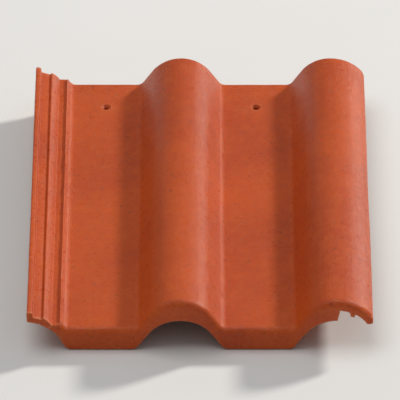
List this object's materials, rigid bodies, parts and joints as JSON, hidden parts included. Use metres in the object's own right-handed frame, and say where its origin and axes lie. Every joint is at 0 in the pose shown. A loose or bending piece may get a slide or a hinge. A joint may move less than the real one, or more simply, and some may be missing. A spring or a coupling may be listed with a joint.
{
  "type": "interlocking clay roof tile",
  "caption": "Interlocking clay roof tile with two rounded rolls, two flat pans, side locks, nose ribs, batten nibs and nail holes.",
  "frame": {"origin": "bottom centre of the tile's box, where its nose foot and nibs rest on the floor", "axes": "+Y along the tile from the nose up the slope to the head, +Z out of the weathered face, +X to the right seen from the nose"},
  "size_m": [0.33, 0.42, 0.056],
  "materials": {
    "fired_clay": "satin"
  },
  "bodies": {
    "root": {"roof_tile": "fired_clay"}
  },
  "joints": []
}
